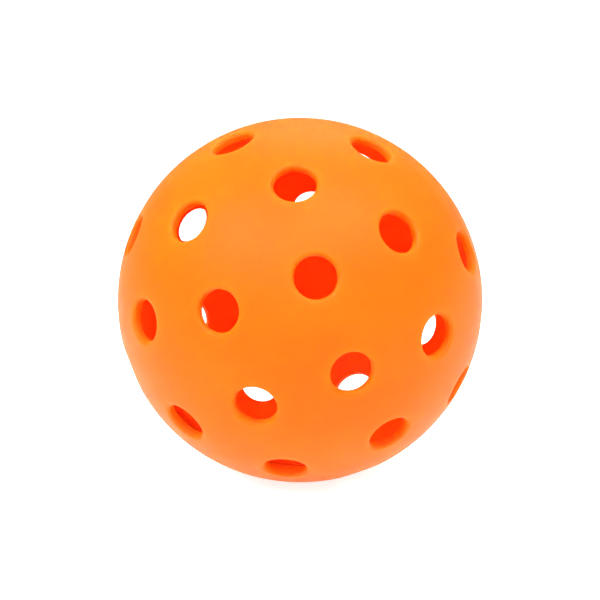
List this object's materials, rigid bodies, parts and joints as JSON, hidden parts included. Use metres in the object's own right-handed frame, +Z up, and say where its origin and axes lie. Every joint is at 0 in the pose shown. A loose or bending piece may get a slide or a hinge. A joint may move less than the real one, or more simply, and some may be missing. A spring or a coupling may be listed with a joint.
{
  "type": "pickleball ball",
  "caption": "Hollow perforated plastic ball for paddle court play: two half shells with staggered rings of round holes, welded at the seam.",
  "frame": {"origin": "centre of the ball", "axes": "+Z up; the poles of the two half shells lie on the Y axis, the front half's towards -Y, and the weld seam lies in the XZ plane"},
  "size_m": [0.074, 0.074, 0.074],
  "materials": {
    "shell_plastic": "satin moulded polyethylene, bright orange, slightly translucent",
    "weld_plastic": "the same plastic, melted and set again, a little deeper orange"
  },
  "bodies": {
    "root": {"front_half_shell": "shell_plastic", "rear_half_shell": "shell_plastic", "weld_bead": "weld_plastic"}
  },
  "joints": []
}
